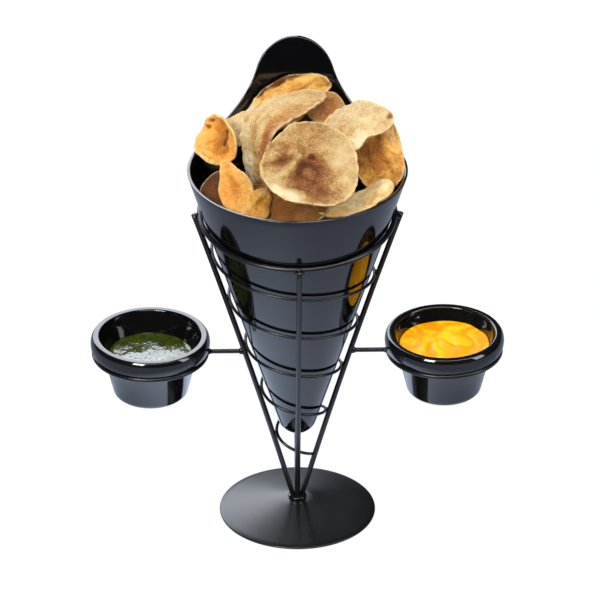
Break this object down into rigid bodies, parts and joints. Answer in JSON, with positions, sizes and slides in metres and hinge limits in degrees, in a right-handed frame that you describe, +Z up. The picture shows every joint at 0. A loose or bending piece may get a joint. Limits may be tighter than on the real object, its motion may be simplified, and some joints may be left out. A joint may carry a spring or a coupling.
{
  "type": "appetizer cone",
  "caption": "Black wire cone stand on a round base, with a glossy cone liner full of potato chips and a dip ramekin held on an arm at each side.",
  "frame": {"origin": "middle of the round base plate, on the table", "axes": "+Z is up, -Y is the front, opposite the liner's raised tab, and +X is towards the yellow dip"},
  "size_m": [0.2672, 0.1571, 0.3045],
  "materials": {
    "wire_black": "satin black powder coat on steel",
    "liner_black": "high gloss black",
    "ramekin_black": "high gloss black",
    "dip_green": "wet green herb sauce with dark specks",
    "dip_yellow": "smooth wet yellow sauce, stirred",
    "chip_gold": "fried golden brown, blistered and a little oily"
  },
  "bodies": {
    "root": {"base_plate": "wire_black", "upright_front": "wire_black", "upright_right": "wire_black", "upright_back": "wire_black", "upright_left": "wire_black", "top_ring": "wire_black", "spiral_wire": "wire_black", "arm_left": "wire_black", "arm_right": "wire_black", "holder_ring_left": "wire_black", "holder_ring_right": "wire_black", "cone_liner": "liner_black", "ramekin_left": "ramekin_black", "ramekin_right": "ramekin_black", "green_dip": "dip_green", "yellow_dip": "dip_yellow", "chip_bed_back": "chip_gold", "chip_bed_front": "chip_gold", "chip_top": "chip_gold", "chip_behind": "chip_gold", "chip_back_left": "chip_gold", "chip_arch": "chip_gold", "chip_curl": "chip_gold", "chip_golden": "chip_gold", "chip_edge": "chip_gold", "chip_pale": "chip_gold", "chip_shade": "chip_gold", "chip_under": "chip_gold", "chip_pale_low": "chip_gold", "chip_sliver": "chip_gold", "chip_leaf": "chip_gold", "chip_corner": "chip_gold", "chip_round": "chip_gold"}
  },
  "joints": []
}
